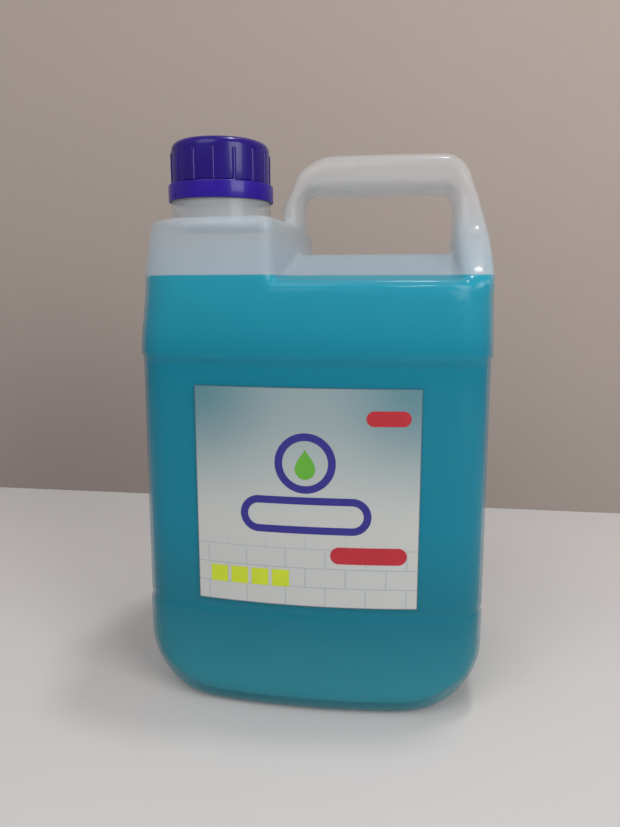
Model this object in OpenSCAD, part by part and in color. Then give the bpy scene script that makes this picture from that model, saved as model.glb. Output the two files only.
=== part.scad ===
// Blow moulded floor cleaner bottle with a pinched-through handle, an off-centre neck,
// a ribbed screw cap with a tamper band, its liquid and a front label.
// Units are millimetres, +Z is up, the origin is the centre of the base, and the label faces -Y.

/* [Body] */
// Width across the two side walls
body_w = 143; // [136:1:152]
// Depth across the middle of the bulged front and back faces
body_d = 113; // [106:1:120]
// Height of the crease where the handle shelf starts
shelf_z = 177; // [174:1:184]
// Radius of the bulged front and back faces, seen from above
face_r = 308; // [260:2:400]
// Radius of the four upright corners
corner_r = 17; // [12:1:20]
// Radius of the bottom corners at the two sides
foot_side_r = 28; // [18:1:30]
// Radius of the bottom edge at the front and back
foot_face_r = 8; // [5:1:12]
// Thickness of the blown wall
wall = 1; // [0.8:0.1:1.6]
// Width of the rim that the bottle stands on
base_rim = 8; // [5:1:12]
// Height of the recess inside that rim
base_lift = 1.5; // [1:0.25:2.5]

/* [Label panel] */
// Height of the panel's lower step
panel_low = 43; // [40:1:46]
// Height of the panel's upper step
panel_high = 146; // [143:1:150]
// How far the panel stands back from the body
panel_depth = 1; // [0.6:0.1:1.6]

/* [Shelf] */
// Radius of the crease round the top of the can
crease_r = 3; // [2.5:0.5:5]
// How far the can's right side leans in up to the shelf
leg_inset = 0.6; // [0.4:0.2:2]

/* [Neck block] */
// Height of the shoulder that carries the neck
shoulder_z = 200.4; // [198:0.2:203]
// How far the block reaches from the neck's axis towards the handle
block_reach = 33.2; // [33:0.1:37]
// How far the block's wall beside the hole bows out
block_bow = 3.8; // [2:0.2:5]
// How far the can's left side leans in up to the shelf
block_inset = 1.2; // [1:0.1:2.5]
// How much farther the block's left side leans in up to the shoulder
block_lean = 3.6; // [1:0.2:4.4]
// Radius of the block's outer upright corners
block_corner_r = 24; // [18:1:28]
// Radius of the block's upright edge beside the handle
block_edge_r = 4; // [3:0.5:10]
// Radius of the block's top edge
shoulder_r = 3; // [2:0.5:4]

/* [Neck] */
// Distance of the neck's axis from the body's left side
neck_side = 25.5; // [24:0.5:28.5]
// Diameter of the collar below the tamper band
collar_d = 44.2; // [43.6:0.1:44.6]
// Height of the collar above the shoulder
collar_h = 12; // [10:0.2:13]
// Diameter of the threaded part of the neck, taken across its root
finish_d = 37.6; // [36:0.2:38.2]
// Height of the rim above the shoulder
rim_h = 33; // [31:0.2:35]
// Diameter of the bead that keeps the tamper band on the neck
bead_d = 41.2; // [40.4:0.2:41.6]
// Diameter of the mouth
mouth_d = 31; // [28:0.5:33]

/* [Handle] */
// Height of the top of the handle
handle_z = 229.4; // [227:0.2:234]
// Height of the grip bar, from its top to the hole
bar_h = 16.2; // [14:0.2:18]
// Depth of the grip, front to back
grip_d = 28; // [24:1:32]
// Height of the hole's lower edge
hole_z = 188; // [187:1:192]
// Thickness of the slim leg beside the neck
slim_leg = 8.6; // [7.6:0.2:10]
// Thickness of the outer leg
outer_leg = 14.9; // [13:0.1:18]

/* [Cap] */
// Diameter of the cap between its ribs
cap_d = 43; // [42.6:0.1:44]
// Height of the cap above the tamper band
cap_h = 17.6; // [17:0.2:19]
// Thickness of the cap's skirt
cap_wall = 1.4; // [1.1:0.1:1.6]
// Thickness of the cap's roof
cap_roof = 1.6; // [1.2:0.1:2]
// Radius of the cap's top edge
cap_round = 4; // [2.5:0.5:5]
// Number of upright grip ribs
ribs = 15; // [12:1:24]
// Diameter of each rib
rib_d = 2; // [1.6:0.1:2.6]
// How far a rib stands out of the skirt
rib_out = 0.5; // [0.3:0.1:0.8]
// Thickness of the sealing disc under the roof
liner_t = 1; // [0.8:0.1:1.4]

/* [Tamper band] */
// Outer diameter of the band
band_d = 46.4; // [46:0.2:48]
// Height of the band
band_h = 7.2; // [6.6:0.2:8]
// Thickness of the band's skirt
band_wall = 0.8; // [0.6:0.1:0.8]
// Height of the slit between the band and the cap
band_slit = 0.4; // [0.3:0.1:0.6]

/* [Label] */
// Width of the label, measured straight across
label_w = 89; // [80:1:94]
// Height of the label
label_h = 88.6; // [80:0.2:92]
// Height of the label's lower edge
label_z = 47.8; // [45:0.2:50]
// Thickness of the label
label_t = 0.3; // [0.2:0.05:0.5]
// Thickness of each printed field
ink_t = 0.08; // [0.06:0.02:0.14]

/* [Liquid] */
// Height of the liquid's surface
fill_z = 178.6; // [170:0.2:180]

/* [Hidden] */

// Clearances: round a fixed fit, round a moving part, and under a sealing face
liquid_gap = 0.2;
label_gap = 0.03;
run_gap = 0.4;
seal_gap = 0.05;
// Height over which a step in the wall is drawn out
step_run = 2;
// Points on one upright corner and on one bulged face
corner_n = 5;
face_n = 8;
round_n = 72;
oval_n = 20;
// Power of the sections of the bar and of the outer leg's foot: 2 is an oval, more is squarer
bar_power = 2.8;
leg_power = 6;
far = 400;
// How far the band hangs down over the collar, and the height of the bead's slope
band_over = 1.2;
bead_h = 3;
// How far the bead stands proud of the band's inner lip
bead_grip = 0.5;
// How far the neck block stands back from the can, and how deep it is sunk into it
block_in = 1.1;
block_sunk = 12;
// Points between the two edges of the block's bowed wall
bow_n = 6;
// How far the slim leg stands out of that wall
slim_proud = 0.5;
// Share of the panel's recess that its sides have at the top
side_share = 0.6;
// How much the radius of the right corners grows up to the shelf
corner_grow = 3;
// How far the shelf's foot and the outer leg's foot are sunk into the can
shelf_sunk = 2;
leg_sunk = 6;
// How far the outer leg's foot stays behind the crease
leg_slope = 3;
// Heights of the handle's legs, below the bar's underside, where they start to turn
slim_turn = 11;
leg_turn = 14.5;
// How much the bulged faces flatten up the shelf
shelf_flatten = 3000;
// Gap between the top of a rib and the cap's rounded edge
rib_stop = 0.6;
// The label size for which the printed fields are drawn
drawn_w = 89;
drawn_h = 88.6;

half_w = body_w / 2;
half_d = body_d / 2;
neck_x = -half_w + neck_side;
block_right = neck_x + block_reach;
rim_z = shoulder_z + rim_h;
outer_x = half_w - leg_inset;
hole_left = block_right + block_bow + slim_proud;
hole_right = outer_x - outer_leg;
hole_top = handle_z - bar_h;
band_z = shoulder_z + collar_h - band_over;
cap_z = band_z + band_h + band_slit;
cap_top = cap_z + cap_h;
roof_z = cap_top - cap_roof;

// Points of one plan section with bulged faces: the bulge is centred on the body, and
// each corner is tangent to its side wall and to the bulge
function span(a, b, n) = [for (i = [0:n]) a + (b - a) * i / n];
function corner_y(cx, r, hd, big) = hd - big + sqrt(pow(big - r, 2) - cx * cx);
function half_plan(xl, xr, hd, rl, rr, big) =
    let (
        cr = xr - rr,
        cl = xl + rl,
        yr = corner_y(cr, rr, hd, big),
        yl = corner_y(cl, rl, hd, big),
        tr = atan2(yr - hd + big, cr),
        tl = atan2(yl - hd + big, cl)
    )
    concat(
        [for (t = span(0, tr, corner_n)) [cr + rr * cos(t), yr + rr * sin(t)]],
        [for (i = [1:face_n - 1]) let (t = tr + (tl - tr) * i / face_n)
            [big * cos(t), hd - big + big * sin(t)]],
        [for (t = span(tl, 180, corner_n)) [cl + rl * cos(t), yl + rl * sin(t)]]
    );
function plan(xl, xr, hd, rl, rr, big, z) =
    let (back = half_plan(xl, xr, hd, rl, rr, big), last = len(back) - 1)
    concat([for (p = back) [p.x, p.y, z]], [for (i = [0:last]) [back[last - i].x, -back[last - i].y, z]]);

// A closed solid through a stack of plan sections with equal numbers of points
module loft(rings) {
    n = len(rings[0]);
    top = len(rings) - 1;
    sides = [for (j = [0:top - 1], i = [0:n - 1]) let (k = (i + 1) % n)
        each [[j * n + i, (j + 1) * n + i, (j + 1) * n + k], [j * n + i, (j + 1) * n + k, j * n + k]]];
    polyhedron(
        points = [for (ring = rings) each ring],
        faces = concat([[for (i = [0:n - 1]) i]], sides, [[for (i = [n - 1:-1:0]) top * n + i]]),
        convexity = 6
    );
}

// How far a rounded lower edge of radius r stands in at height h above its foot
function foot_in(h, r) = h < r ? r - sqrt(r * r - pow(r - h, 2)) : 0;
function foot_heights() = concat(
    [for (a = [0:18:90]) foot_face_r * (1 - cos(a))],
    [for (a = [0:11.25:90]) let (h = foot_side_r * (1 - cos(a))) if (h > foot_face_r + 0.5) h]
);

// A smooth rise from 0 at height a to 1 at height b
function ease(z, a, b) = let (t = min(max((z - a) / (b - a), 0), 1)) t * t * (3 - 2 * t);

// One section of the can: z, then how far it stands in at the sides and at the faces.
// Above the panel its two sides lean in and its corners grow rounder
function can_ring(z, side_in, face_in, s) =
    let (rise = ease(z, panel_high, shelf_z))
    plan(-half_w + side_in + block_inset * rise + s, half_w - side_in - leg_inset * rise - s,
         half_d - face_in - s,
         corner_r + (block_corner_r - corner_r) * rise - s, corner_r + corner_grow * rise - s,
         face_r - s, z);
// The can up to the crease; s is how far the surface lies inside the outer one
function can_rings(s, low) = concat(
    [for (h = foot_heights())
        can_ring(low + s + h * (panel_low - low - s) / panel_low, foot_in(h, foot_side_r), foot_in(h, foot_face_r), s)],
    [
        can_ring(panel_low - step_run / 2, 0, 0, s),
        can_ring(panel_low + step_run / 2, 0, panel_depth, s),
        can_ring(panel_high - step_run / 2, side_share * panel_depth, panel_depth, s),
        can_ring(panel_high + step_run / 2, 0, 0, s)
    ],
    [for (u = [0.25, 0.5, 0.75])
        can_ring(panel_high + (shelf_z - crease_r - panel_high) * u, 0, 0, s)],
    [for (a = [0:18:90]) let (edge_in = crease_r * (1 - cos(a)))
        can_ring(shelf_z - s - crease_r * (1 - sin(a)), edge_in, edge_in, s)]
);

module can(s) {
    loft(can_rings(s, s > 0 ? base_lift : 0));
}

// The sloped shelf between the crease and the hole, which narrows to the grip's depth
module shelf(s) {
    rise = hole_z - shelf_z;
    low_d = half_d - crease_r;
    loft([for (u = [0:0.2:1])
        plan(neck_x + s, outer_x - 1 - s, low_d + (grip_d / 2 - low_d) * pow(u, 0.8) - s,
             corner_r - s, corner_r - 3 * u - s, face_r + shelf_flatten * u,
             shelf_z - s - shelf_sunk * (1 - u) + rise * u)]);
}

// The block that carries the neck, rounded off into the shoulder. Its left side leans in
// with the can's, and its wall beside the hole bows out
module neck_block(s) {
    loft(concat(
        [block_ring(shelf_z - block_sunk, 0, s), block_ring(shelf_z, 0, s)],
        [for (a = [0:18:90]) block_ring(shoulder_z - s - shoulder_r * (1 - sin(a)), shoulder_r * (1 - cos(a)), s)]
    ));
}
function block_ring(z, edge_in, s) =
    let (
        lean = block_inset * ease(z, panel_high, shelf_z)
            + block_lean * max(z - shelf_z, 0) / (shoulder_z - shelf_z),
        right = block_right - min(edge_in, block_edge_r - 1) - s,
        ring = plan(-half_w + lean + block_in + edge_in + s, right, half_d - block_in - edge_in - s,
                    block_corner_r - s, block_edge_r - s, face_r, z),
        reach = ring[0].y
    )
    concat(ring, [for (i = [1:bow_n - 1]) let (y = reach * (2 * i / bow_n - 1))
        [right + block_bow * (1 - pow(y / reach, 2)), y, z]]);

// The handle's centre line: x, z, half its thickness, half its depth, and the power of its
// section. The outer leg spreads from the grip's depth to nearly the can's at the crease
function handle_path() = let (
        slim = slim_leg / 2,
        leg = outer_leg / 2,
        bar = bar_h / 2,
        grip = grip_d / 2,
        foot = corner_y(half_w - corner_r, corner_r, half_d, face_r) + corner_r - crease_r - leg_slope,
        slim_x = hole_left - slim,
        leg_x = outer_x - leg,
        bar_z = handle_z - bar
    ) [
        [slim_x, shelf_z, slim, grip, bar_power],
        [slim_x, hole_top - slim_turn, slim, grip, bar_power],
        [slim_x + 0.3, hole_top - 6, slim - 0.3, grip, bar_power],
        [hole_left - 3.1, hole_top - 2.8, 3.1, grip, bar_power],
        [hole_left - 1.2, hole_top + 0.8, 3.1, grip, bar_power],
        [hole_left + 0.3, hole_top + 3.2, 4.1, grip, bar_power],
        [hole_left + 2.6, hole_top + 5.4, 5.6, grip, bar_power],
        [hole_left + 8.5, bar_z - 0.7, bar - 0.7, grip, bar_power],
        [hole_left + 16.5, bar_z, bar, grip, bar_power],
        [hole_right - 8, bar_z, bar, grip, bar_power],
        [hole_right - 2.4, bar_z - 0.5, bar - 0.3, grip, bar_power],
        [hole_right + 0.8, bar_z - 2.8, bar - 1.4, grip, bar_power],
        [hole_right + 3.6, hole_top + 0.4, bar - 2.8, grip + 0.5, bar_power + 0.4],
        [hole_right + 5.3, hole_top - 5.5, leg - 1.9, grip + 2, bar_power + 1],
        [leg_x - 0.9, hole_top - leg_turn, leg - 0.9, grip + 6, leg_power - 1],
        [leg_x - 0.3, hole_z + 3, leg - 0.3, (grip + foot) / 2, leg_power],
        [leg_x, shelf_z + 1, leg, foot, leg_power],
        [leg_x, shelf_z - leg_sunk, leg, foot, leg_power]
    ];

// A section of the handle, square to its centre line, between an oval and a rectangle
function heading(path, i) =
    let (a = path[max(i - 1, 0)], b = path[min(i + 1, len(path) - 1)])
    atan2(b[1] - a[1], b[0] - a[0]);
function swell(x, power) = sign(x) * pow(abs(x), 2 / power);
function oval(p, turn, s) = [for (t = [0:360 / oval_n:359])
    let (across = (p[2] - s) * swell(cos(t), p[4]))
    [p[0] - across * sin(turn), (p[3] - s) * swell(sin(t), p[4]), p[1] + across * cos(turn)]];

module handle(s) {
    path = handle_path();
    for (i = [0:len(path) - 2])
        hull()
            polyhedron(
                points = concat(oval(path[i], heading(path, i), s), oval(path[i + 1], heading(path, i + 1), s)),
                faces = [[for (k = [0:2 * oval_n - 1]) k]]
            );
}

// The neck's outside, from the shoulder to the rim
module neck_outside() {
    translate([neck_x, 0, shoulder_z - shoulder_r])
        cylinder(d = finish_d, h = rim_h + shoulder_r, $fn = round_n);
    translate([neck_x, 0, shoulder_z - shoulder_r])
        cylinder(d = collar_d, h = collar_h + shoulder_r, $fn = round_n);
    translate([neck_x, 0, shoulder_z + collar_h])
        cylinder(d1 = bead_d, d2 = finish_d, h = bead_h, $fn = round_n);
}

module hollow(s) {
    can(s);
    shelf(s);
    neck_block(s);
    handle(s);
}

module bottle() {
    color([0.86, 0.89, 0.92, 0.6])
        difference() {
            union() {
                hollow(0);
                neck_outside();
            }
            hollow(wall);
            base_recess();
            translate([neck_x, 0, shoulder_z - 2 * wall - shoulder_r])
                cylinder(d = mouth_d, h = far, $fn = round_n);
        }
}

// The shallow recess in the base, inside the rim that the bottle stands on
module base_recess() {
    side = half_w - foot_side_r - base_rim;
    face = half_d - foot_face_r - base_rim;
    loft([plan(-side, side, face, corner_r, corner_r, face_r, -1),
          plan(-side, side, face, corner_r, corner_r, face_r, 0),
          plan(-side + base_lift, side - base_lift, face - base_lift, corner_r, corner_r, face_r, base_lift)]);
}

module liquid() {
    color([0.0, 0.56, 0.65])
        intersection() {
            hollow(wall + liquid_gap);
            translate([-far / 2, -far / 2, 0])
                cube([far, far, fill_z]);
        }
}

// A slab on the label panel, from a to b above its surface, cut to an outline drawn in x and z
module on_panel(a, b) {
    panel_y = -(half_d - panel_depth);
    intersection() {
        translate([0, panel_y + face_r, 0])
            difference() {
                cylinder(r = face_r + b, h = shelf_z, $fn = 360);
                translate([0, 0, -1])
                    cylinder(r = face_r + a, h = shelf_z + 2, $fn = 360);
            }
        translate([0, 0, label_z])
            rotate([90, 0, 0])
                linear_extrude(height = half_d + 10)
                    children();
    }
}

module label() {
    color([0.86, 0.90, 0.92])
        on_panel(label_gap, label_gap + label_t)
            translate([-label_w / 2, 0])
                square([label_w, label_h]);
}

module print_field() {
    on_panel(label_gap + label_t, label_gap + label_t + ink_t)
        scale([label_w / drawn_w, label_h / drawn_h])
            children();
}

// A drop with its point up, r wide at its round end
module drop_shape(r) {
    side = 0.95 * r;
    circle(r = r, $fn = 32);
    polygon([[0, 2 * r], [-side * cos(30), side * sin(30)], [side * cos(30), side * sin(30)]]);
}

// A bar with round ends
module bar_shape(w, h) {
    translate([-w / 2 + h / 2, -h / 2])
        square([w - h, h]);
    for (side = [-1, 1])
        translate([side * (w - h) / 2, 0])
            circle(d = h, $fn = 32);
}

// A ring emblem over a plain nameplate
module print_blue() {
    color([0.09, 0.12, 0.45])
        print_field() {
            translate([0, 59])
                difference() {
                    circle(r = 12, $fn = 96);
                    circle(r = 9, $fn = 96);
                }
            translate([0, 38])
                difference() {
                    bar_shape(52, 15);
                    bar_shape(46, 9);
                }
        }
}

module print_green() {
    color([0.30, 0.62, 0.16])
        print_field()
            translate([0, 56.6])
                drop_shape(4);
}

module print_red() {
    color([0.62, 0.07, 0.10])
        print_field() {
            translate([32, 77])
                bar_shape(17, 6);
            translate([25, 22])
                bar_shape(30, 7);
        }
}

// A row of floor tiles
module print_yellow() {
    tile = 7;
    pitch = 8.5;
    color([0.70, 0.80, 0.10])
        print_field()
            for (i = [0:3])
                translate([-39 + i * pitch, 8])
                    square([tile, tile]);
}

module tamper_band() {
    ledge_z = band_z + band_h - 1;
    color([0.18, 0.10, 0.55])
        translate([neck_x, 0, 0])
            difference() {
                translate([0, 0, band_z])
                    cylinder(d = band_d, h = band_h, $fn = round_n);
                translate([0, 0, band_z - 1])
                    cylinder(d = band_d - 2 * band_wall, h = ledge_z - band_z + 1, $fn = round_n);
                cylinder(d = bead_d - 2 * bead_grip, h = far, $fn = round_n);
            }
}

module cap() {
    r = cap_d / 2;
    color([0.16, 0.08, 0.50])
        translate([neck_x, 0, 0])
            difference() {
                union() {
                    translate([0, 0, cap_z])
                        cylinder(r = r, h = cap_h - cap_round, $fn = round_n);
                    translate([0, 0, cap_top - cap_round])
                        cylinder(r = r - cap_round, h = cap_round, $fn = round_n);
                    translate([0, 0, cap_top - cap_round])
                        rotate_extrude($fn = round_n)
                            translate([r - cap_round, 0])
                                intersection() {
                                    circle(r = cap_round, $fn = 48);
                                    square(cap_round);
                                }
                    for (i = [0:ribs - 1])
                        rotate([0, 0, 360 * (i + 0.5) / ribs])
                            translate([r + rib_out - rib_d / 2, 0, cap_z])
                                cylinder(d = rib_d, h = cap_h - cap_round - rib_stop, $fn = 24);
                }
                translate([0, 0, cap_z - 1])
                    cylinder(r = r - cap_wall, h = roof_z - cap_z + 1, $fn = round_n);
            }
}

module cap_liner() {
    color([0.92, 0.92, 0.90])
        translate([neck_x, 0, rim_z + seal_gap])
            cylinder(d = cap_d - 2 * cap_wall - 2 * run_gap, h = liner_t, $fn = round_n);
}

bottle();
liquid();
label();
print_blue();
print_green();
print_red();
print_yellow();
tamper_band();
cap();
cap_liner();
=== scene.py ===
"""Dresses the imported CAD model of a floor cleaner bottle: a blown bottle with a handle, its
liquid, a printed label, a ribbed screw cap with a tamper ring, and a plain stage."""

import math

import bmesh
import bpy
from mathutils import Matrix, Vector


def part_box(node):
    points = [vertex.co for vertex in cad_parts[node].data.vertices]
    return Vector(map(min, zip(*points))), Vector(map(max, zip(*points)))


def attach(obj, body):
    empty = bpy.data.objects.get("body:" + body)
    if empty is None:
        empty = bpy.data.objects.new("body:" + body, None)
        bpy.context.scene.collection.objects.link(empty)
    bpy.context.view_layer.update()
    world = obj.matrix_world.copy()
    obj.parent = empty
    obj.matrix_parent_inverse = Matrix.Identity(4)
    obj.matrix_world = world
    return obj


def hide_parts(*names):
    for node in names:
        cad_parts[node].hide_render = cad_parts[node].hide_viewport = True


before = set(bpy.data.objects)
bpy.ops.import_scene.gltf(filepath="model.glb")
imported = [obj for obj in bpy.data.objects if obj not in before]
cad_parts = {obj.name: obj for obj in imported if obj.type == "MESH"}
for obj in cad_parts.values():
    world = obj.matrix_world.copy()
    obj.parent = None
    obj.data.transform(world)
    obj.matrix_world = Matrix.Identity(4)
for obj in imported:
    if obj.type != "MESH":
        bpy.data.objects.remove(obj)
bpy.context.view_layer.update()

bl_info = {
    "name": "Floor Cleaner Bottle",
    "version": (1, 0, 0),
    "blender": (4, 5, 0),
    "location": "3D View > Sidebar > Bottle",
    "description": "Models the blown bottle, its liquid, cap and label around the packed CAD frame",
    "category": "Add Mesh",
}

MM = 0.001

# Places taken from the CAD frame
BOTTLE_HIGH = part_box("bottle")[1]
LIQUID_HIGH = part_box("liquid")[1]
LABEL_LOW, LABEL_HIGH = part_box("label")
BAND_LOW, BAND_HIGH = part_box("tamper_band")
CAP_LOW, CAP_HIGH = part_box("cap")
HALF_W = BOTTLE_HIGH.x
HALF_D = BOTTLE_HIGH.y
NECK_X = (BAND_LOW.x + BAND_HIGH.x) / 2
RIM_Z = BOTTLE_HIGH.z
FILL_Z = LIQUID_HIGH.z

# How finely the curves are drawn, how deep a thread's root is sunk, and how near two points are one
ARC_STEPS = 10
THREAD_STEPS = 48
THREAD_SUNK = 0.3 * MM
MERGE = 0.001 * MM

# The two printed bars: middle across and above the label's foot, width and height
BARS = (
    (32 * MM, 77 * MM, 17 * MM, 6 * MM),
    (25 * MM, 22 * MM, 30 * MM, 7 * MM),
)

# The room: half the width of its table and wall in metres, the gap under the bottle, the light
# of the sky, and each lamp's name, place, target, side in metres and power in watts
ROOM_REACH = 2
TABLE_GAP = 0.1 * MM
SKY_COLOUR = (0.95, 0.97, 1.0, 1)
SKY_STRENGTH = 0.42
LAMPS = (
    ("key_lamp", (0.8, -0.7, 0.6), (0, 0, 0.12), 0.6, 6.5),
    ("fill_lamp", (-0.45, -1.0, 1.15), (0, 0, 0.12), 0.9, 7.0),
    ("ceiling_lamp", (0.18, 0.08, 1.3), (0, 0, 0.1), 0.12, 3.2),
)


def plain_colour(red, green, blue):
    """Linear colour of an 8 bit screen colour."""
    return tuple(
        c / 12.92 if c <= 0.04045 else ((c + 0.055) / 1.055) ** 2.4
        for c in (red / 255, green / 255, blue / 255)
    )


def length(name, description, default_mm):
    """A length property, given in millimetres."""
    return bpy.props.FloatProperty(
        name=name, description=description, default=default_mm * MM, unit="LENGTH", precision=5
    )


def number(name, description, default):
    """A plain number property."""
    return bpy.props.FloatProperty(name=name, description=description, default=default)


def amount(name, description, default):
    """A whole number property."""
    return bpy.props.IntProperty(name=name, description=description, default=default)


def angle(name, description, degrees):
    """An angle property, given in degrees."""
    return bpy.props.FloatProperty(
        name=name, description=description, default=math.radians(degrees), subtype="ANGLE"
    )


def colour(name, description, red, green, blue):
    """A colour property, given as an 8 bit screen colour."""
    return bpy.props.FloatVectorProperty(
        name=name, description=description, default=plain_colour(red, green, blue), subtype="COLOR", size=3
    )


class BodySizes(bpy.types.PropertyGroup):
    """Sizes of the blown body."""

    shelf_z: length("Shelf height", "Height of the crease round the top of the can", 177)
    bulge_r: length("Bulge radius", "Radius of the front and back faces, seen from above", 308)
    corner_r: length("Corner radius", "Radius of the upright corners", 17)
    corner_grow: length("Corner growth", "How much the right corners' radius changes up the shelf", 3)
    foot_side_r: length("Foot radius, sides", "Radius of the bottom edge at the two sides", 28)
    foot_face_r: length("Foot radius, faces", "Radius of the bottom edge at front and back", 8)
    crease_r: length("Crease radius", "Radius of the crease round the top of the can", 3)
    shelf_sunk: length("Shelf sunk", "How deep the shelf's foot is sunk into the can", 2)
    shelf_power: number("Shelf hollow", "Power of the shelf's slope: below 1 it is hollow", 0.8)
    shelf_flat: length("Shelf flatness", "How much the faces' radius grows up the shelf", 3000)
    leg_inset: length("Leg inset", "How far the shelf and outer leg stand in from the side", 0.6)
    panel_low: length("Panel foot", "Height of the label panel's lower step", 43)
    panel_high: length("Panel head", "Height of the label panel's upper step", 146)
    panel_depth: length("Panel depth", "How far the label panel stands back", 1)
    groove: length("Groove", "Depth of the groove at each panel step, on the two sides", 0.8)
    side_share: number("Side share", "Share of the panel's recess that the two sides have at its head", 0.6)
    step_run: length("Step run", "Height over which a panel step is drawn out", 2)
    base_rim: length("Base rim", "Width of the rim that the bottle stands on", 8)
    base_lift: length("Base lift", "Height of the recess inside the rim", 1.5)
    base_slope: length("Base slope", "Width of the slope into the recess", 4)
    wall: length("Wall", "Thickness of the blown wall with the gap to the liquid", 1.2)
    grain: length("Skin grain", "Spacing of the points on the blown skin", 1.3)
    liquid_grain: length("Liquid grain", "Spacing of the points on the liquid", 2.2)
    melt_rounds: amount("Melt rounds", "Rounds of smoothing that melt the forms together", 3)


class BlockSizes(bpy.types.PropertyGroup):
    """Sizes of the block that carries the neck."""

    shoulder_z: length("Shoulder height", "Height of the shoulder that carries the neck", 200.4)
    reach: length("Reach", "Reach of the block from the neck's axis towards the handle", 33.7)
    bow: length("Bow", "How far the block's wall beside the hole bows out", 3.8)
    side_inset: length("Side inset", "How far the can's left side leans in up to the shelf", 1.2)
    lean: length("Lean", "How much farther the block's left side leans in up to the shoulder", 3.6)
    face_inset: length("Face inset", "How far the block stands in from the can's faces", 0.1)
    outer_r: length("Outer corner radius", "Radius of the two outer upright corners", 24)
    inner_r: length("Inner edge radius", "Radius of the two upright edges beside the handle", 4)
    shoulder_r: length("Shoulder radius", "Radius of the block's top edge", 3)
    sunk: length("Sunk depth", "How deep the block is sunk into the can", 12)


class HandleSizes(bpy.types.PropertyGroup):
    """Sizes of the pinched-through handle."""

    top_z: length("Top", "Height of the top of the handle", 229.4)
    bar_h: length("Bar height", "Height of the grip bar", 16.2)
    depth: length("Depth", "Depth of the grip, front to back", 28)
    hole_w: length("Hole width", "Width of the hole through the handle", 64.5)
    hole_z: length("Hole height", "Height of the hole's lower edge", 188)
    slim_leg: length("Slim leg", "Thickness of the leg beside the neck", 8.6)
    foot_inset: length("Foot inset", "How far the outer leg's foot stands in from the crease", 3)
    bar_power: number("Bar squareness", "Power of the bar's section: 2 is an oval, more is squarer", 2.8)
    leg_power: number("Leg squareness", "Power of the outer leg's section at its foot", 6)


class NeckSizes(bpy.types.PropertyGroup):
    """Sizes of the neck's finish."""

    sunk: length("Sunk depth", "How deep the neck is sunk into the shoulder", 1)
    collar_r: length("Collar radius", "Radius of the collar below the tamper ring", 22.1)
    collar_h: length("Collar height", "Height of the collar above the shoulder", 12)
    collar_edge_r: length("Collar edge", "Radius of the collar's top edge", 0.8)
    bead_r: length("Bead radius", "Radius of the bead that keeps the tamper ring", 20.6)
    bead_h: length("Bead height", "Height of the bead's slope", 3)
    root_r: length("Root radius", "Radius of the neck at the thread's root", 18.8)
    mouth_r: length("Mouth radius", "Radius of the mouth", 15.5)
    rim_r: length("Rim radius", "Radius of the rim's two edges", 0.7)
    pitch: length("Thread pitch", "Rise of the thread in one turn", 4)
    thread_depth: length("Thread depth", "How far the thread stands out", 0.9)
    thread_w: length("Thread width", "Width of the thread at its root", 1.4)
    thread_gap: length("Thread gap", "Height from the bead to the thread's start", 3.2)
    thread_turns: number("Thread turns", "Number of turns of the neck's thread", 2.4)


class CapSizes(bpy.types.PropertyGroup):
    """Sizes of the screw cap and its tamper ring."""

    skirt_r: length("Skirt radius", "Outer radius between the ribs", 21.5)
    wall: length("Skirt wall", "Thickness of the skirt", 1.4)
    roof: length("Roof", "Thickness of the roof", 1.6)
    roof_r: length("Roof radius", "Radius of the edge inside the roof", 0.5)
    edge_r: length("Edge radius", "Radius of the top edge", 4)
    fine_r: length("Fine radius", "Radius of the fine edges", 0.3)
    dish: length("Dish", "Depth of the flat dish in the roof", 0.3)
    dish_rim: length("Dish rim", "Width of the flat between the dish and the rounded edge", 1)
    dish_slope: length("Dish slope", "Width of the dish's sloped border", 0.5)
    ribs: amount("Ribs", "Number of upright ribs", 15)
    rib_r: length("Rib radius", "Radius of each rib", 1)
    rib_out: length("Rib reach", "How far a rib stands out of the skirt", 0.5)
    rib_stop: length("Rib stop", "Gap between a rib's top and the rounded edge", 0.6)
    thread_w: length("Thread width", "Width of the cap's thread at its root", 1.2)
    thread_gap: length("Thread gap", "Gap between the skirt's foot and the cap's thread", 0.6)
    thread_turns: number("Thread turns", "Number of turns of the cap's thread", 1.8)
    ring_r: length("Ring radius", "Outer radius of the tamper ring", 23.2)
    ring_wall: length("Ring wall", "Thickness of the tamper ring", 0.8)
    ring_lip: length("Ring lip", "Thickness of the lip inside the tamper ring", 1)
    ring_hold: length("Ring hold", "How far the lip reaches over the bead", 0.5)
    lip_r: length("Lip radius", "Radius of the lip's edges", 0.2)


class LabelSizes(bpy.types.PropertyGroup):
    """Sizes of the label and its print."""

    gap: length("Glue gap", "Gap between the panel and the label", 0.03)
    film: length("Film", "Thickness of the label", 0.3)
    ink: length("Ink", "Thickness of the print", 0.08)
    cut: length("Cut spacing", "Spacing of the cuts that let the print bend", 3)
    line_w: length("Line width", "Width of the line of the ring and of the nameplate", 3)
    ring_up: length("Ring height", "Height of the ring's centre above the label's foot", 59)
    ring_r: length("Ring radius", "Outer radius of the ring", 12)
    drop_up: length("Drop height", "Height of the drop above the label's foot", 56.6)
    drop_r: length("Drop radius", "Radius of the drop's round end", 4)
    plate_up: length("Nameplate height", "Height of the nameplate's middle above the label's foot", 38)
    plate_w: length("Nameplate width", "Width of the nameplate", 52)
    plate_h: length("Nameplate depth", "Distance from its upper to its lower side", 15)
    tile_x: length("Tile place", "Middle of the first tile across the label", -35.5)
    tile_up: length("Tile height", "Height of the tiles' middle above the label's foot", 11.5)
    tile: length("Tile side", "Side of a tile", 7)
    tile_step: length("Tile step", "Distance from one tile to the next", 8.5)
    tiles: amount("Tiles", "Number of tiles in the row", 4)


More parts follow.
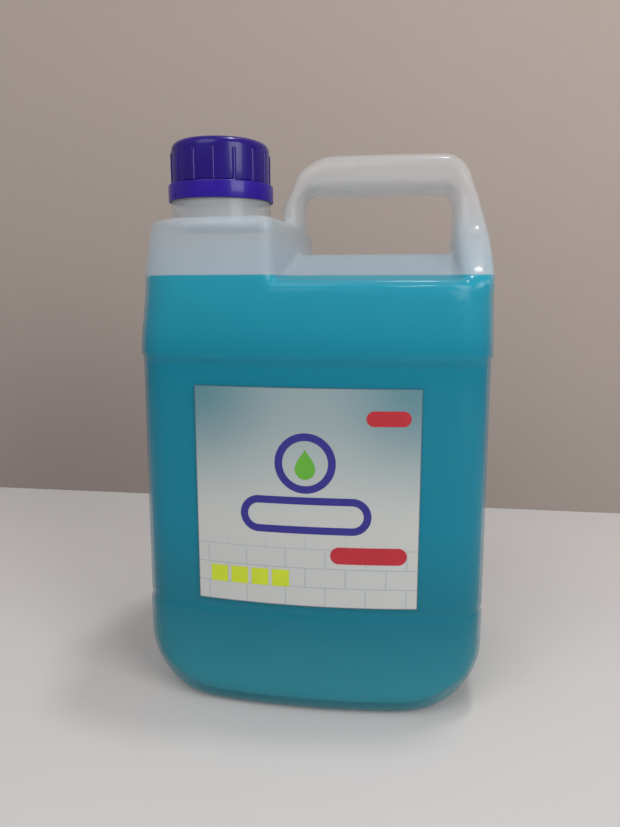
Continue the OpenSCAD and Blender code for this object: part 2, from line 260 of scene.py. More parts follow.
class BottleColours(bpy.types.PropertyGroup):
    """Colours of the pieces."""

    milky: colour("Milky wall", "Bare blown wall of the handle", 208, 205, 204)
    # Painted bounce light: the wall is painted bluer just above the liquid, where light reflected off the
    # liquid falls.
    milky_liquid_bounce: colour("Milky wall, low", "Bare blown wall just above the liquid", 184, 208, 222)
    # The top and foot teal colours are painted light, which lightens the liquid under its surface and in
    # its rounded foot.
    teal_lit_top: colour("Teal, top", "Liquid just below its surface", 40, 164, 188)
    teal_mid: colour("Teal, middle", "Liquid at half height", 0, 134, 160)
    teal_low: colour("Teal, low", "Liquid above the rounded foot", 14, 122, 142)
    teal_lit_foot: colour("Teal, foot", "Liquid in the rounded foot", 48, 142, 158)
    cap: colour("Cap", "Screw cap", 30, 4, 112)
    ring: colour("Ring", "Tamper ring", 40, 10, 140)
    liner: colour("Liner", "Sealing disc", 236, 236, 230)
    label: colour("Label", "Ground of the label", 184, 186, 183)
    # Painted shade: a thin dark line along the label's cut edge.
    label_edge_shade: colour("Label edge", "Thin dark line at the label's cut edge", 40, 62, 70)
    tint: colour("Label tint", "Tint in the label's upper part", 84, 128, 138)
    ink_blue: colour("Blue ink", "Ring and nameplate", 40, 34, 128)
    ink_green: colour("Green ink", "Drop", 92, 166, 48)
    ink_red: colour("Red ink", "Bars", 176, 30, 44)
    ink_yellow: colour("Yellow ink", "Tiles", 190, 206, 40)


class StageSettings(bpy.types.PropertyGroup):
    """The table, the wall and the camera."""

    table: colour("Table", "Colour of the table", 210, 206, 204)
    # The two wall colours are painted light: the wall is painted lighter towards its top and right and
    # dimmer low down and to the left.
    backdrop: colour("Wall", "Colour of the wall's lighter side", 175, 162, 153)
    backdrop_dim: colour("Wall, dim", "Colour of the wall's dim lower side", 154, 142, 136)
    wall_y: length("Wall distance", "Distance of the wall behind the bottle", 238)
    camera_place: bpy.props.FloatVectorProperty(
        name="Camera place",
        description="Where the camera stands",
        default=(0.0384, -0.3126, 0.1727),
        subtype="TRANSLATION",
    )
    camera_turn: angle("Camera turn", "Turn of the camera to its left", 8.07)
    camera_dip: angle("Camera dip", "Dip of the camera below level", 10.08)
    lens: bpy.props.FloatProperty(
        name="Lens", description="Focal length on a 36 mm film", default=30.05, subtype="DISTANCE_CAMERA"
    )


# Meshes


def finished_piece(bm, name, body, material, sharp_angle=40):
    """A bmesh as a shown object at the origin that rides on a CAD body."""
    mesh = bpy.data.meshes.new(name)
    bm.to_mesh(mesh)
    bm.free()
    mesh.shade_smooth()
    mesh.set_sharp_from_angle(angle=math.radians(sharp_angle))
    mesh.materials.append(material)
    piece = bpy.data.objects.new(name, mesh)
    bpy.context.scene.collection.objects.link(piece)
    if body:
        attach(piece, body)
    return piece


def loft(bm, sections):
    """A closed skin through sections that have equal numbers of points."""
    count = len(sections[0])
    rows = len(sections) - 1
    verts = bmesh.ops.create_grid(bm, x_segments=count, y_segments=rows, size=1)["verts"]
    for index, vert in enumerate(verts):
        row, column = divmod(index, count + 1)
        vert.co = sections[row][column % count]
    bmesh.ops.remove_doubles(bm, verts=verts, dist=MERGE)
    ends = [edge for edge in bm.edges if edge.is_boundary]
    bmesh.ops.holes_fill(bm, edges=ends, sides=0)
    bmesh.ops.recalc_face_normals(bm, faces=bm.faces[:])


def turned(bm, corners, steps=120):
    """A closed part turned round the neck's axis, from (radius, height, rounding) corners."""
    verts = [bm.verts.new((NECK_X + radius, 0, height)) for radius, height, _ in corners]
    bm.faces.new(verts)
    for vert, (_, _, rounding) in zip(verts, corners):
        if rounding:
            bmesh.ops.bevel(
                bm, geom=[vert], offset=rounding, segments=6, profile=0.5, affect="VERTICES", material=-1
            )
    bmesh.ops.delete(bm, geom=bm.faces[:], context="FACES_ONLY")
    axis = [edge for edge in bm.edges if all(abs(v.co.x - NECK_X) < MERGE for v in edge.verts)]
    bmesh.ops.delete(bm, geom=axis, context="EDGES")
    bmesh.ops.spin(
        bm,
        geom=bm.verts[:] + bm.edges[:],
        cent=(NECK_X, 0, 0),
        axis=(0, 0, 1),
        dvec=(0, 0, 0),
        angle=math.tau,
        steps=steps,
        use_merge=True,
    )
    bmesh.ops.remove_doubles(bm, verts=bm.verts[:], dist=MERGE)
    bmesh.ops.recalc_face_normals(bm, faces=bm.faces[:])


def thread(bm, root, crest, width, start, turns, pitch):
    """A screw thread of trapezium section round the neck's axis, sunk a little into its wall."""
    sunk_root = root - math.copysign(THREAD_SUNK, crest - root)
    foot_half, crest_half = width / 2, width / 5
    corners = [(sunk_root, -foot_half), (crest, -crest_half), (crest, crest_half), (sunk_root, foot_half)]
    verts = [bm.verts.new((NECK_X + radius, 0, start + rise)) for radius, rise in corners]
    edges = [bm.edges.new((verts[i - 1], verts[i])) for i in range(len(verts))]
    steps = round(THREAD_STEPS * turns)
    bmesh.ops.spin(
        bm,
        geom=verts + edges,
        cent=(NECK_X, 0, 0),
        axis=(0, 0, 1),
        dvec=(0, 0, pitch * turns / steps),
        angle=math.tau * turns,
        steps=steps,
    )
    ends = [edge for edge in bm.edges if edge.is_boundary]
    bmesh.ops.holes_fill(bm, edges=ends, sides=0)
    bmesh.ops.recalc_face_normals(bm, faces=bm.faces[:])


def joined(*parts):
    """One bmesh that holds several closed ones."""
    whole = bmesh.new()
    for part in parts:
        mesh = bpy.data.meshes.new("part")
        part.to_mesh(mesh)
        part.free()
        whole.from_mesh(mesh)
        bpy.data.meshes.remove(mesh)
    return whole


def one_skin(bm, grain):
    """The outer skin of overlapping closed forms, on an even grid."""
    mesh = bpy.data.meshes.new("forms")
    bm.to_mesh(mesh)
    bm.free()
    forms = bpy.data.objects.new("forms", mesh)
    bpy.context.scene.collection.objects.link(forms)
    remesh = forms.modifiers.new("Skin", "REMESH")
    remesh.mode = "VOXEL"
    remesh.voxel_size = grain
    skin = bpy.data.meshes.new_from_object(forms.evaluated_get(bpy.context.evaluated_depsgraph_get()))
    bpy.data.objects.remove(forms)
    bpy.data.meshes.remove(mesh)
    whole = bmesh.new()
    whole.from_mesh(skin)
    bpy.data.meshes.remove(skin)
    return whole


def eased(value, start, end):
    """0 before start, 1 after end, and a smooth rise between them."""
    t = min(max((value - start) / (end - start), 0), 1)
    return t * t * (3 - 2 * t)


def quarter():
    """The turns of a quarter arc, from its start to its end."""
    return [math.radians(90 * i / ARC_STEPS) for i in range(ARC_STEPS + 1)]


# The blown body


def corner_centre(cx, radius, half_depth, bulge):
    """How far back a corner's centre lies, so that the corner is tangent to the bulged face."""
    return half_depth - bulge + math.sqrt((bulge - radius) ** 2 - cx**2)


def plan(left, right, half_depth, left_r, right_r, bulge, height):
    """A level section with bulged faces and corners tangent to them."""
    right_cx, left_cx = right - right_r, left + left_r
    right_cy = corner_centre(right_cx, right_r, half_depth, bulge)
    left_cy = corner_centre(left_cx, left_r, half_depth, bulge)
    centre_y = half_depth - bulge
    right_turn = math.atan2(right_cy - centre_y, right_cx)
    left_turn = math.atan2(left_cy - centre_y, left_cx)
    back = []
    for cx, cy, radius, start, end, steps in (
        (right_cx, right_cy, right_r, 0, right_turn, 9),
        (0, centre_y, bulge, right_turn, left_turn, 24),
        (left_cx, left_cy, left_r, left_turn, math.pi, 9),
    ):
        for i in range(steps):
            turn = start + (end - start) * i / steps
            back.append((cx + radius * math.cos(turn), cy + radius * math.sin(turn)))
    back.append((left, left_cy))
    return [(x, y, height) for x, y in back] + [(x, -y, height) for x, y in reversed(back)]


def foot_in(height, radius):
    """How far a rounded lower edge stands in at a height above its foot."""
    return radius - math.sqrt(radius**2 - (radius - height) ** 2) if height < radius else 0


def side_lean(body, block, height, right):
    """How far the can's side leans in at a height, and the radius of its corners there."""
    rise = eased(height, body.panel_high, body.shelf_z)
    if right:
        return body.leg_inset * rise, body.corner_r + body.corner_grow * rise
    return block.side_inset * rise, body.corner_r + (block.outer_r - body.corner_r) * rise


def can_plan(body, block, side_in, face_in, inset, height):
    """One section of the can, inset as a whole and at its sides and faces."""
    left_in, left_r = side_lean(body, block, height, False)
    right_in, right_r = side_lean(body, block, height, True)
    return plan(
        -HALF_W + side_in + left_in + inset,
        HALF_W - side_in - right_in - inset,
        HALF_D - face_in - inset,
        left_r - inset,
        right_r - inset,
        body.bulge_r - inset,
        height,
    )


def can_form(body, block, inset, low):
    """The can from its foot to the crease."""
    feet = {
        round(radius * (1 - math.cos(turn)), 7)
        for radius in (body.foot_side_r, body.foot_face_r)
        for turn in quarter()
    }
    sections = []
    for rise in sorted(feet):
        side_in, face_in = foot_in(rise, body.foot_side_r), foot_in(rise, body.foot_face_r)
        sections.append(can_plan(body, block, side_in, face_in, inset, low + inset + rise))
    crease_z = body.shelf_z - body.crease_r
    lean_steps = 6
    for i in range(lean_steps):
        height = body.panel_high + (crease_z - body.panel_high) * i / lean_steps
        sections.append(can_plan(body, block, 0, 0, inset, height))
    for turn in quarter():
        edge_in = body.crease_r * (1 - math.cos(turn))
        height = crease_z - inset + body.crease_r * math.sin(turn)
        sections.append(can_plan(body, block, edge_in, edge_in, inset, height))
    bm = bmesh.new()
    loft(bm, sections)
    return bm


def shelf_form(body, handle, inset):
    """The sloped shelf between the crease and the hole, with faces that flatten towards its top."""
    right = HALF_W - body.leg_inset - MM
    low_d, top_d = HALF_D - body.crease_r, handle.depth / 2
    low_z, top_z = body.shelf_z - body.shelf_sunk, handle.hole_z
    sections = []
    for i in range(ARC_STEPS + 1):
        rise = i / ARC_STEPS
        sections.append(
            plan(
                NECK_X + inset,
                right - inset,
                low_d + (top_d - low_d) * rise**body.shelf_power - inset,
                body.corner_r - inset,
                body.corner_r - body.corner_grow * rise - inset,
                body.bulge_r + body.shelf_flat * rise,
                low_z + (top_z - low_z) * rise - inset,
            )
        )
    bm = bmesh.new()
    loft(bm, sections)
    return bm


def block_form(body, block, inset):
    """The block that carries the neck. Its wall beside the hole bows out towards the handle."""

    def section(height, edge_in):
        right = NECK_X + block.reach - min(edge_in, block.inner_r - MM) - inset
        lean = block.lean * max(height - body.shelf_z, 0) / (block.shoulder_z - body.shelf_z)
        side_in = block.side_inset * eased(height, body.panel_high, body.shelf_z) + lean
        ring = plan(
            -HALF_W + side_in + edge_in + inset,
            right,
            HALF_D - block.face_inset - edge_in - inset,
            block.outer_r - inset,
            block.inner_r - inset,
            body.bulge_r,
            height,
        )
        reach = ring[0][1]
        bow_steps = 12
        for i in range(1, bow_steps):
            share = 2 * i / bow_steps - 1
            ring.append((right + block.bow * (1 - share**2), reach * share, height))
        return ring

    sections = [section(body.shelf_z - block.sunk, 0), section(body.shelf_z, 0)]
    for turn in quarter():
        height = block.shoulder_z - inset - block.shoulder_r * (1 - math.sin(turn))
        sections.append(section(height, block.shoulder_r * (1 - math.cos(turn))))
    bm = bmesh.new()
    loft(bm, sections)
    return bm


def handle_line(body, block, handle):
    """The handle's centre line: x, z, half its thickness, half its depth and its squareness."""
    slim, bar, grip = (size / 2 for size in (handle.slim_leg, handle.bar_h, handle.depth))
    foot = corner_centre(HALF_W - body.corner_r, body.corner_r, HALF_D, body.bulge_r)
    foot += body.corner_r - body.crease_r - handle.foot_inset
    left = NECK_X + block.reach + block.bow
    right = left + handle.hole_w
    outer_x = HALF_W - body.leg_inset
    leg, leg_x = (outer_x - right) / 2, (outer_x + right) / 2
    bar_z = handle.top_z - bar
    under_z = handle.top_z - handle.bar_h
    low_z, hole_z = body.shelf_z, handle.hole_z
    round_bar, square_leg = handle.bar_power, handle.leg_power
    return [
        # Up the slim leg beside the neck
        (left - slim, low_z, slim, grip, round_bar),
        (left - slim, under_z - 11 * MM, slim, grip, round_bar),
        (left - slim + 0.3 * MM, under_z - 6 * MM, slim - 0.3 * MM, grip, round_bar),
        # Round the near corner
        (left - 3.1 * MM, under_z - 2.8 * MM, 3.1 * MM, grip, round_bar),
        (left - 1.2 * MM, under_z + 0.8 * MM, 3.1 * MM, grip, round_bar),
        (left + 0.3 * MM, under_z + 3.2 * MM, 4.1 * MM, grip, round_bar),
        (left + 2.6 * MM, under_z + 5.4 * MM, 5.6 * MM, grip, round_bar),
        (left + 8.5 * MM, bar_z - 0.7 * MM, bar - 0.7 * MM, grip, round_bar),
        # Along the bar
        (left + 16.5 * MM, bar_z, bar, grip, round_bar),
        (right - 8 * MM, bar_z, bar, grip, round_bar),
        # Round the far corner
        (right - 2.4 * MM, bar_z - 0.5 * MM, bar - 0.3 * MM, grip, round_bar),
        (right + 0.8 * MM, bar_z - 2.8 * MM, bar - 1.4 * MM, grip, round_bar),
        (right + 3.6 * MM, under_z + 0.4 * MM, bar - 2.8 * MM, grip + 0.5 * MM, round_bar + 0.4),
        # Down the outer leg, which deepens into the can
        (right + 5.3 * MM, under_z - 5.5 * MM, leg - 1.9 * MM, grip + 2 * MM, round_bar + 1),
        (leg_x - 0.9 * MM, under_z - 14.5 * MM, leg - 0.9 * MM, grip + 6 * MM, square_leg - 1),
        (leg_x - 0.3 * MM, hole_z + 3 * MM, leg - 0.3 * MM, (grip + foot) / 2, square_leg),
        (leg_x, low_z + MM, leg, foot, square_leg),
        (leg_x, low_z - 6 * MM, leg, foot, square_leg),
    ]


def flowing(stations, steps):
    """Stations along a smooth line through the given ones."""
    line = []
    last = len(stations) - 1
    for i in range(last):
        before, a, b, after = (stations[min(max(k, 0), last)] for k in (i - 1, i, i + 1, i + 2))
        for k in range(steps):
            t = k / steps
            shares = (
                (2 * t * t - t - t**3) / 2,
                1 - 2.5 * t * t + 1.5 * t**3,
                t / 2 + 2 * t * t - 1.5 * t**3,
                (t**3 - t * t) / 2,
            )
            columns = zip(before, a, b, after)
            line.append([sum(u * v for u, v in zip(shares, values)) for values in columns])
    return line + [stations[-1]]


def swell(value, power):
    """A point on a rounded square: 2 is a circle, and more is squarer."""
    return math.copysign(abs(value) ** (2 / power), value)


def handle_form(body, block, handle, inset):
    """The handle from its foot beside the neck, over the bar and down the outer leg."""
    line = flowing(handle_line(body, block, handle), steps=4)
    points = 48
    sections = []
    for i, (x, z, thick, deep, power) in enumerate(line):
        a, b = line[max(i - 1, 0)], line[min(i + 1, len(line) - 1)]
        turn = math.atan2(b[1] - a[1], b[0] - a[0])
        ring = []
        for k in range(points):
            around = math.tau * k / points
            across = (thick - inset) * swell(math.cos(around), power)
            depth = (deep - inset) * swell(math.sin(around), power)
            ring.append((x - across * math.sin(turn), depth, z + across * math.cos(turn)))
        sections.append(ring)
    bm = bmesh.new()
    loft(bm, sections)
    return bm


def can_wall(x, y, side, half_depth, radius, bulge):
    """The nearest point on the can's upright wall."""
    cx = side - radius
    cy = corner_centre(cx, radius, half_depth, bulge)
    centre_y = half_depth - bulge
    across, back = abs(x), abs(y)
    if back <= cy:
        across = side
    elif math.atan2(back - centre_y, across) >= math.atan2(cy - centre_y, cx):
        away = Vector((across, back - centre_y)).normalized() * bulge
        across, back = away.x, centre_y + away.y
    else:
        away = Vector((across - cx, back - cy)).normalized() * radius
        across, back = cx + away.x, cy + away.y
    return math.copysign(across, x), math.copysign(back, y)


def true_walls(bm, body, block, inset):
    """Brings the can's walls to their exact shape, with the label panel's recess."""
    # Full from low_full to high_full, and fading to nothing at low and high
    low, low_full = 10 * MM, 15 * MM
    high = body.shelf_z - body.crease_r - 2 * MM
    high_full = high - 4 * MM
    run = body.step_run / 2
    for vert in bm.verts:
        x, y, z = vert.co
        hold = eased(z, low, low_full) * (1 - eased(z, high_full, high))
        if hold == 0:
            continue
        panel = eased(z, body.panel_low - run, body.panel_low + run)
        panel *= 1 - eased(z, body.panel_high - run, body.panel_high + run)
        rise = (z - body.panel_low) / (body.panel_high - body.panel_low)
        recess = body.panel_depth * panel
        side_recess = recess * max(body.side_share * rise, 0)
        for step_z in (body.panel_low, body.panel_high):
            groove = body.groove * (1 - eased(abs(z - step_z), 0.4 * run, 1.4 * run))
            side_recess = max(side_recess, groove)
        lean, radius = side_lean(body, block, z, x > 0)
        side = HALF_W - foot_in(z, body.foot_side_r) - lean - side_recess - inset
        half_depth = HALF_D - foot_in(z, body.foot_face_r) - recess - inset
        wall_x, wall_y = can_wall(x, y, side, half_depth, radius - inset, body.bulge_r - inset)
        vert.co.x += (wall_x - x) * hold
        vert.co.y += (wall_y - y) * hold


def blown_form(scene, inset, grain, low):
    """The body as one smooth skin, inset by the wall for the liquid."""
    body, block, handle = scene.body_sizes, scene.block_sizes, scene.handle_sizes
    forms = joined(
        can_form(body, block, inset, low),
        shelf_form(body, handle, inset),
        block_form(body, block, inset),
        handle_form(body, block, handle, inset),
    )
    skin = one_skin(forms, grain)
    for _ in range(body.melt_rounds):
        bmesh.ops.smooth_vert(
            skin, verts=skin.verts[:], factor=0.5, use_axis_x=True, use_axis_y=True, use_axis_z=True
        )
    true_walls(skin, body, block, inset)
    return skin


def lift_base(bm, body):
    """Presses the shallow recess into the base."""
    side = HALF_W - body.foot_side_r - body.base_rim
    face = HALF_D - body.foot_face_r - body.base_rim
    for vert in bm.verts:
        if vert.co.z < MM:
            inside = min(side - abs(vert.co.x), face - abs(vert.co.y))
            vert.co.z += body.base_lift * eased(inside, 0, body.base_slope)


def neck_form(scene):
    """The neck's collar, bead, thread and mouth."""
    neck, block = scene.neck_sizes, scene.block_sizes
    foot = block.shoulder_z - neck.sunk
    collar_top = block.shoulder_z + neck.collar_h
    bead_top = collar_top + neck.bead_h
    tube = bmesh.new()
    turned(
        tube,
        [
            (neck.mouth_r, foot, 0),
            (neck.collar_r, foot, 0),
            (neck.collar_r, collar_top, neck.collar_edge_r),
            (neck.bead_r, collar_top, 0),
            (neck.root_r, bead_top, 0),
            (neck.root_r, RIM_Z, neck.rim_r),
            (neck.mouth_r, RIM_Z, neck.rim_r),
        ],
    )
    screw = bmesh.new()
    crest = neck.root_r + neck.thread_depth
    start = bead_top + neck.thread_gap
    thread(screw, neck.root_r, crest, neck.thread_w, start, neck.thread_turns, neck.pitch)
    return joined(tube, screw)


# Finishes


def scaled(shade, share):
    """A colour made darker or lighter."""
    return [min(c * share, 1) for c in shade]


class Finish:
    """A material under construction: its shader, and short calls that add nodes."""

    def __init__(self, name, **sockets):
        self.material = bpy.data.materials.new(name)
        self.material.use_nodes = True
        self.tree = self.material.node_tree
        self.shader = self.tree.nodes["Principled BSDF"]
        for socket, value in sockets.items():
            self.shader.inputs[socket.replace("_", " ")].default_value = value

    def node(self, kind, inputs=None, **settings):
        """A node with its settings, and with values or other nodes' outputs on its inputs."""
        node = self.tree.nodes.new("ShaderNode" + kind)
        for setting, value in settings.items():
            setattr(node, setting, value)
        for socket, value in (inputs or {}).items():
            if isinstance(value, bpy.types.NodeSocket):
                self.tree.links.new(value, node.inputs[socket])
            else:
                node.inputs[socket].default_value = value
        return node

    def place(self):
        """Object coordinates, whole and as x, y and z."""
        whole = self.node("TexCoord").outputs["Object"]
        return whole, self.node("SeparateXYZ", {0: whole}).outputs

    def noise(self, where, scale, detail=3):
        """Soft noise from 0 to 1."""
        return self.node("TexNoise", {"Vector": where, "Scale": scale, "Detail": detail}).outputs["Fac"]

    def spread(self, value, start, end, low=0.0, high=1.0):
        """A smooth map of a value from start..end to low..high."""
        return self.node(
            "MapRange",
            {"Value": value, "From Min": start, "From Max": end, "To Min": low, "To Max": high},
            interpolation_type="SMOOTHSTEP",
        ).outputs["Result"]

    def sum(self, operation, a, b=0.0):
        """A sum, a product or another plain operation on two values."""
        return self.node("Math", {0: a, 1: b}, operation=operation).outputs[0]

    def mix(self, share, a, b):
        """A mix of two colours."""
        node = self.node("Mix", data_type="RGBA")
        for index, value in ((0, share), (6, a), (7, b)):
            if isinstance(value, bpy.types.NodeSocket):
                self.tree.links.new(value, node.inputs[index])
            elif index:
                node.inputs[index].default_value = (*value, 1)
            else:
                node.inputs[index].default_value = value
        return node.outputs[2]

    def bands(self, value, stops):
        """Colours along a value, from (place, colour) stops."""
        ramp = self.node("ValToRGB", {"Fac": value})
        elements = ramp.color_ramp.elements
        while len(elements) < len(stops):
            elements.new(0.5)
        for element, (place, shade) in zip(elements, stops):
            element.position = place
            element.color = (*shade, 1)
        return ramp.outputs["Color"]

    def bump(self, height, strength, distance):
        """Relief from a height value."""
        relief = self.node("Bump", {"Strength": strength, "Distance": distance, "Height": height})
        self.tree.links.new(relief.outputs["Normal"], self.shader.inputs["Normal"])

    def feed(self, socket, value):
        """Links a value to the shader."""
        self.tree.links.new(value, self.shader.inputs[socket])

    def gloss(self, grain, low, high):
        """Roughness that wanders a little from place to place with a noise."""
        self.feed("Roughness", self.spread(grain, 0.3, 0.7, low, high))


def teal_with_painted_light(finish, height, colours):
    """The liquid's colour by height, with painted light: lighter just under its surface and in the rounded
    foot, and darker and duller low down.
    """
    stops = [
        (0.0, colours.teal_lit_foot),
        (0.06, colours.teal_lit_foot),
        (0.24, colours.teal_low),
        (0.45, colours.teal_mid),
        (0.81, colours.teal_mid),
        (0.88, [(a + b) / 2 for a, b in zip(colours.teal_mid, colours.teal_lit_top)]),
        (1.0, colours.teal_lit_top),
    ]
    return finish.bands(finish.sum("DIVIDE", height, FILL_Z), stops)


def milky_wall(colours):
    """Natural blown wall: milky where it is bare, painted bluer just above the liquid as painted bounce
    light, and lit teal where the liquid stands behind it.
    """
    finish = Finish(
        "milky_wall", Alpha=0.46, IOR=1.5, Specular_IOR_Level=0.22, Coat_Weight=0.45, Coat_Roughness=0.12
    )
    where, place = finish.place()
    height = place[2]
    bounce_fade_top = FILL_Z + 38 * MM
    surface_low, surface_high = FILL_Z - 0.3 * MM, FILL_Z + 0.5 * MM
    # Painted bounce light: the bare wall is painted bluer just above the liquid, fading to plain milky
    # higher up.
    rise = finish.spread(height, FILL_Z, bounce_fade_top)
    bare = finish.mix(rise, colours.milky_liquid_bounce, colours.milky)
    filled = teal_with_painted_light(finish, height, colours)
    above = finish.spread(height, surface_low, surface_high)
    finish.feed("Base Color", finish.mix(above, filled, bare))
    wave = finish.noise(where, 30, 1)
    finish.gloss(wave, 0.26, 0.34)
    seam = finish.spread(finish.sum("ABSOLUTE", place[1]), 0.15 * MM, 0.5 * MM, 1.0, 0.0)
    relief = finish.sum("ADD", finish.sum("MULTIPLY", seam, 0.1), finish.sum("MULTIPLY", wave, 0.5))
    finish.bump(relief, 0.35, 0.2 * MM)
    return finish.material


def teal_liquid(colours):
    """The dyed cleaner."""
    finish = Finish("teal_liquid", IOR=1.33)
    where, place = finish.place()
    # The liquid is painted lighter under its surface and in its rounded foot as painted light.
    finish.feed("Base Color", teal_with_painted_light(finish, place[2], colours))
    finish.gloss(finish.noise(where, 20), 0.08, 0.18)
    return finish.material


def glossy_plastic(name, shade):
    """Moulded polypropylene, faintly clouded, with a fine gloss."""
    finish = Finish(name, IOR=1.5, Coat_Weight=0.2, Coat_Roughness=0.06, Specular_IOR_Level=0.2)
    where, _ = finish.place()
    cloud = finish.noise(where, 60, 1)
    finish.feed("Base Color", finish.mix(cloud, scaled(shade, 0.85), scaled(shade, 1.15)))
    finish.gloss(cloud, 0.24, 0.32)
    return finish.material


def foam_liner(colours):
    """Pressed foam of the sealing disc."""
    finish = Finish("foam_liner", IOR=1.45)
    where, _ = finish.place()
    cells = finish.node("TexVoronoi", {"Vector": where, "Scale": 1800}).outputs["Distance"]
    finish.feed("Base Color", finish.mix(cells, scaled(colours.liner, 0.9), colours.liner))
    finish.feed("Roughness", finish.spread(cells, 0, 1, 0.6, 0.85))
    finish.bump(cells, 0.4, 0.1 * MM)
    return finish.material


def label_film(colours):
    """Printed film: a pale ground with a tint in its upper corners and a faint tiled floor, with painted
    shade along its edges.
    """
    finish = Finish("label_film", IOR=1.5, Coat_Weight=0.2, Coat_Roughness=0.25)
    where, place = finish.place()
    across, height = finish.sum("ABSOLUTE", place[0]), place[2]
    foot, head, side = LABEL_LOW.z, LABEL_HIGH.z, LABEL_HIGH.x
    floor_full, floor_end, tint_start = foot + 20 * MM, foot + 34 * MM, foot + 30 * MM
    tile_w, tile_h, joint_w = 16 * MM, 8 * MM, 0.25 * MM
    up = finish.spread(height, tint_start, head)
    out = finish.spread(across, 4 * MM, side, 0.6, 1)
    tinted = finish.mix(finish.sum("MULTIPLY", up, out), colours.label, colours.tint)
    floor = finish.spread(height, floor_end, floor_full)
    black, white = (0, 0, 0, 1), (1, 1, 1, 1)
    tiles = finish.node(
        "TexBrick",
        {
            "Vector": finish.node("CombineXYZ", {0: place[0], 1: height}).outputs[0],
            "Scale": 1.0,
            "Mortar Size": joint_w,
            "Brick Width": tile_w,
            "Row Height": tile_h,
            "Color1": black,
            "Color2": black,
            "Mortar": white,
        },
    ).outputs["Color"]
    lines = finish.sum("MULTIPLY", tiles, finish.sum("MULTIPLY", floor, 0.35))
    tiled = finish.mix(lines, tinted, colours.tint)
    edge_x = finish.sum("SUBTRACT", side, across)
    from_head, from_foot = finish.sum("SUBTRACT", head, height), finish.sum("SUBTRACT", height, foot)
    edge_z = finish.sum("MINIMUM", from_head, from_foot)
    # Painted shade: a thin dark line along the label's edges.
    edge = finish.spread(finish.sum("MINIMUM", edge_x, edge_z), 0.15 * MM, 0.4 * MM, 0.75, 0)
    finish.feed("Base Color", finish.mix(edge, tiled, colours.label_edge_shade))
    fibre = finish.noise(where, 900)
    finish.gloss(fibre, 0.3, 0.42)
    finish.bump(fibre, 0.08, 0.05 * MM)
    return finish.material


def ink(name, shade):
    """Gloss printing ink with a slightly uneven cover."""
    finish = Finish(name, IOR=1.5)
    where, _ = finish.place()
    cover = finish.noise(where, 260)
    finish.feed("Base Color", finish.mix(cover, scaled(shade, 0.88), scaled(shade, 1.08)))
    finish.gloss(cover, 0.28, 0.4)
    return finish.material


# The label


def panel_y(body, x, off):
    """The y of a surface that stands off the front panel."""
    radius = body.bulge_r + off
    return body.bulge_r - (HALF_D - body.panel_depth) - math.sqrt(radius**2 - x**2)


def laid_on_panel(bm, scene, inner, outer):
    """Bends flat shapes, drawn in x and z, on the front panel, and gives them a thickness."""
    reach = LABEL_HIGH.x
    cuts = math.ceil(2 * reach / scene.label_sizes.cut)
    for i in range(1, cuts):
        bmesh.ops.bisect_plane(
            bm,
            geom=bm.verts[:] + bm.edges[:] + bm.faces[:],
            dist=MERGE / 10,
            plane_co=(-reach + 2 * reach * i / cuts, 0, 0),
            plane_no=(1, 0, 0),
        )
    raised = bmesh.ops.extrude_face_region(bm, geom=bm.faces[:])["geom"]
    top = {item for item in raised if isinstance(item, bmesh.types.BMVert)}
    for vert in bm.verts:
        vert.co.y = panel_y(scene.body_sizes, vert.co.x, outer if vert in top else inner)
    bmesh.ops.recalc_face_normals(bm, faces=bm.faces[:])


def disc(bm, x, z, radius, segments=48):
    """A flat disc in x and z; returns its points."""
    verts = bmesh.ops.create_circle(bm, cap_ends=True, segments=segments, radius=radius)["verts"]
    for vert in verts:
        vert.co = (x + vert.co.x, 0, z + vert.co.y)
    return verts


def hollowed(bm, verts, width):
    """Leaves only a border of a flat shape."""
    bm.normal_update()
    face = verts[0].link_faces[0]
    bmesh.ops.inset_region(bm, faces=[face], thickness=width, use_even_offset=True, use_boundary=True)
    bmesh.ops.delete(bm, geom=[face], context="FACES")


def bar(bm, x, z, width, height, segments=48):
    """A flat bar with round ends; returns its points."""
    verts = disc(bm, x, z, height / 2, segments)
    for vert in verts:
        vert.co.x += math.copysign((width - height) / 2, vert.co.x - x)
    return verts


def drop(bm, x, z, radius):
    """A flat drop with its point up."""
    sharpness = 1.25
    for vert in disc(bm, x, z, radius, 64):
        rise = (vert.co.z - z) / radius
        if rise > 0:
            side = 1 if vert.co.x > x else -1
            vert.co.x = x + side * radius * max(math.cos(rise * math.pi / 2), 0) ** sharpness
            vert.co.z = z + 2 * radius * rise


class BOTTLE_OT_blow_bottle(bpy.types.Operator):
    """Model the blown bottle with its handle and neck"""

    bl_idname = "bottle.blow_bottle"
    bl_label = "Blow Bottle"

    def execute(self, context):
        scene = context.scene
        skin = blown_form(scene, 0, scene.body_sizes.grain, 0)
        lift_base(skin, scene.body_sizes)
        whole = joined(skin, neck_form(scene))
        piece = finished_piece(whole, "bottle_shell", "container", milky_wall(scene.bottle_colours))
        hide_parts("bottle")
        return {"FINISHED"}


class BOTTLE_OT_fill_liquid(bpy.types.Operator):
    """Model the liquid that stands in the bottle"""

    bl_idname = "bottle.fill_liquid"
    bl_label = "Fill Liquid"

    def execute(self, context):
        scene = context.scene
        body = scene.body_sizes
        liquid = blown_form(scene, body.wall, body.liquid_grain, body.base_lift)
        cut = bmesh.ops.bisect_plane(
            liquid,
            geom=liquid.verts[:] + liquid.edges[:] + liquid.faces[:],
            dist=MERGE,
            plane_co=(0, 0, FILL_Z),
            plane_no=(0, 0, 1),
            clear_outer=True,
        )["geom_cut"]
        edges = [item for item in cut if isinstance(item, bmesh.types.BMEdge)]
        bmesh.ops.holes_fill(liquid, edges=edges, sides=0)
        bmesh.ops.recalc_face_normals(liquid, faces=liquid.faces[:])
        piece = finished_piece(liquid, "liquid_fill", "container", teal_liquid(scene.bottle_colours))
        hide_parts("liquid")
        return {"FINISHED"}


